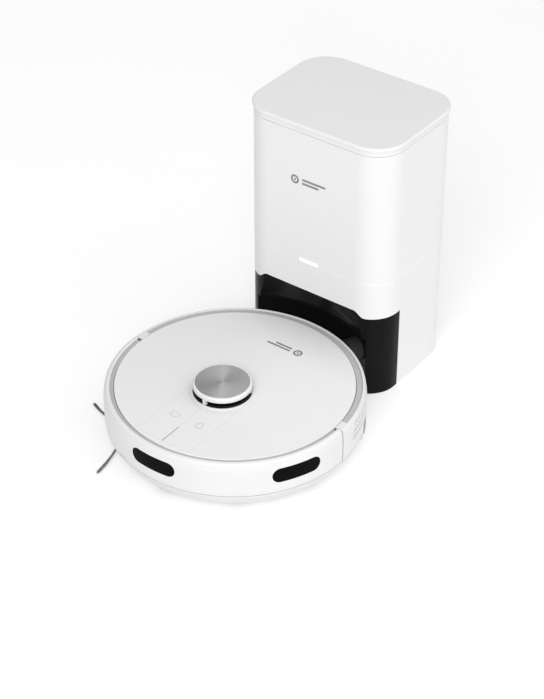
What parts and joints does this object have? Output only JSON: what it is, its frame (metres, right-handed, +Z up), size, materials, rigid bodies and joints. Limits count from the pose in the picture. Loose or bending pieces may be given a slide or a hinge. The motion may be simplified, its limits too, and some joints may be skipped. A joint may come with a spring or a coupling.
{
  "type": "robot vacuum",
  "caption": "Round laser-guided robot vacuum with bumper, drive wheels and brushes, parked in a tall self-emptying dock with a lift-up lid.",
  "frame": {"origin": "on the floor, at the middle of the dock's footprint, on the underside of its base plate", "axes": "+Z up; +Y from the robot towards the dock's back, so the robot drives forward along -Y; +X is the robot's left side"},
  "size_m": [0.3693, 0.5298, 0.3925],
  "materials": {
    "shell_white": "satin",
    "cover_white": "satin",
    "chassis_white": "fine moulded texture",
    "trim_silver": "satin silver paint",
    "brushed_disc": "radially brushed",
    "black_gloss": "polished",
    "black_plastic": "fine moulded texture",
    "grey_plastic": "fine moulded texture",
    "light_bar": "translucent diffuser",
    "tyre_rubber": "ribbed tread",
    "black_rubber": "matt",
    "spring_steel": "drawn wire",
    "zinc_screws": "zinc plated",
    "contact_brass": "polished plate",
    "bristle_grey": "fine bristle",
    "brush_orange_grey": "bristle rows and rubber blades",
    "motor_steel": "satin can",
    "bin_smoke": "smoked",
    "filter_paper": "pleated paper",
    "battery_wrap": "shrink wrap",
    "board_green": "solder mask",
    "bag_fibre": "non-woven fibre"
  },
  "bodies": {
    "dock": {"dock_lower_shell": "shell_white", "dock_front_cover": "black_gloss", "dock_base_plate": "black_plastic", "dock_feet": "black_rubber", "dock_upper_shell": "shell_white", "lid_hinge_pin": "spring_steel", "led_window": "light_bar", "port_gasket": "black_rubber", "dock_duct": "black_plastic", "bag_holder": "grey_plastic", "dust_bag": "bag_fibre", "dock_fan_housing": "black_plastic", "dock_board": "board_green", "power_inlet": "black_plastic"},
    "lid": {"dock_lid": "shell_white"},
    "dock_plungers": {"dock_contacts": "contact_brass"},
    "dock_fan": {"dock_fan_rotor": "grey_plastic"},
    "robot": {"base_chassis": "chassis_white", "inner_frame": "black_plastic", "rear_housing": "shell_white", "trim_ring": "trim_silver", "top_cover": "cover_white", "turret_cap": "cover_white", "turret_disc": "brushed_disc", "lidar_base": "black_plastic", "lidar_motor": "motor_steel", "lidar_belt": "black_rubber", "bumper_springs": "spring_steel", "robot_screws": "zinc_screws", "sensor_windows": "black_gloss", "robot_contacts": "contact_brass", "brush_guard": "grey_plastic", "brush_motor": "black_plastic", "side_brush_motor": "black_plastic", "dust_bin": "bin_smoke", "bin_filter": "filter_paper", "fan_housing": "black_plastic", "battery_pack": "battery_wrap", "main_board": "board_green", "left_suspension_spring": "spring_steel", "right_suspension_spring": "spring_steel"},
    "bumper": {"front_bumper": "shell_white", "bumper_windows": "black_gloss"},
    "home_button": {"home_key": "cover_white"},
    "power_button": {"power_key": "cover_white"},
    "lidar": {"lidar_head": "black_gloss"},
    "lidar_drive": {"lidar_pulley": "grey_plastic"},
    "left_arm": {"left_wheel_arm": "black_plastic"},
    "right_arm": {"right_wheel_arm": "black_plastic"},
    "left_wheel": {"left_wheel_hub": "grey_plastic", "left_tyre": "tyre_rubber"},
    "right_wheel": {"right_wheel_hub": "grey_plastic", "right_tyre": "tyre_rubber"},
    "caster_swivel": {"caster_fork": "black_plastic"},
    "caster_roller": {"caster_wheel": "black_rubber"},
    "main_brush": {"main_brush_core": "grey_plastic", "main_brush_bristles": "brush_orange_grey"},
    "side_brush": {"side_brush_hub": "grey_plastic", "side_brush_bristles": "bristle_grey"},
    "suction_fan": {"fan_impeller": "grey_plastic"}
  },
  "joints": [
    {"name": "robot_drive_off", "type": "slide", "parent": "dock", "child": "robot", "axis": [0, -1, 0], "range_m": [0, 0.6]},
    {"name": "lid_open", "type": "hinge", "parent": "dock", "child": "lid", "pos_m": [0, 0.0882, 0.38], "axis": [-1, 0, 0], "range_deg": [0, 75]},
    {"name": "charging_plungers", "type": "slide", "parent": "dock", "child": "dock_plungers", "axis": [0, 1, 0], "range_m": [0, 0.003], "stiffness_N_per_m": 250},
    {"name": "dock_fan_spin", "type": "hinge", "parent": "dock", "child": "dock_fan", "pos_m": [-0.015, 0.022, 0.08], "axis": [0, 0, 1], "continuous": true},
    {"name": "bumper_press", "type": "slide", "parent": "robot", "child": "bumper", "axis": [0, 1, 0], "range_m": [0, 0.002], "stiffness_N_per_m": 900, "deforming": ["bumper_springs"]},
    {"name": "home_key_press", "type": "slide", "parent": "robot", "child": "home_button", "axis": [0, 0, -1], "range_m": [0, 0.0008], "stiffness_N_per_m": 800},
    {"name": "power_key_press", "type": "slide", "parent": "robot", "child": "power_button", "axis": [0, 0, -1], "range_m": [0, 0.0008], "stiffness_N_per_m": 800},
    {"name": "lidar_spin", "type": "hinge", "parent": "robot", "child": "lidar", "pos_m": [0, -0.28325, 0.08], "axis": [0, 0, 1], "continuous": true},
    {"name": "lidar_motor_spin", "type": "hinge", "parent": "robot", "child": "lidar_drive", "pos_m": [0.052, -0.28325, 0.06], "axis": [0, 0, 1], "continuous": true},
    {"name": "left_suspension", "type": "hinge", "parent": "robot", "child": "left_arm", "pos_m": [0.098, -0.30225, 0.04], "axis": [1, 0, 0], "range_deg": [-22, 0], "stiffness_Nm_per_rad": 0.24, "springref_deg": -60.16, "deforming": ["left_suspension_spring"]},
    {"name": "right_suspension", "type": "hinge", "parent": "robot", "child": "right_arm", "pos_m": [-0.098, -0.30225, 0.04], "axis": [1, 0, 0], "range_deg": [-22, 0], "stiffness_Nm_per_rad": 0.24, "springref_deg": -60.16, "deforming": ["right_suspension_spring"]},
    {"name": "left_wheel_spin", "type": "hinge", "parent": "left_arm", "child": "left_wheel", "pos_m": [0.118, -0.24825, 0.033], "axis": [1, 0, 0], "continuous": true},
    {"name": "right_wheel_spin", "type": "hinge", "parent": "right_arm", "child": "right_wheel", "pos_m": [-0.118, -0.24825, 0.033], "axis": [1, 0, 0], "continuous": true},
    {"name": "caster_swivel_turn", "type": "hinge", "parent": "robot", "child": "caster_swivel", "pos_m": [0, -0.38425, 0.03], "axis": [0, 0, 1], "continuous": true},
    {"name": "caster_roll", "type": "hinge", "parent": "caster_swivel", "child": "caster_roller", "pos_m": [0, -0.37725, 0.013], "axis": [1, 0, 0], "continuous": true},
    {"name": "main_brush_spin", "type": "hinge", "parent": "robot", "child": "main_brush", "pos_m": [0, -0.23225, 0.022], "axis": [1, 0, 0], "continuous": true},
    {"name": "side_brush_spin", "type": "hinge", "parent": "robot", "child": "side_brush", "pos_m": [-0.11, -0.35225, 0.008], "axis": [0, 0, 1], "continuous": true},
    {"name": "suction_fan_spin", "type": "hinge", "parent": "robot", "child": "suction_fan", "pos_m": [0.096, -0.16825, 0.045], "axis": [0, 0, 1], "continuous": true}
  ],
  "couplings": [
    {"joint": "lidar_motor_spin", "follows": "lidar_spin", "ratio": 3.9245}
  ]
}
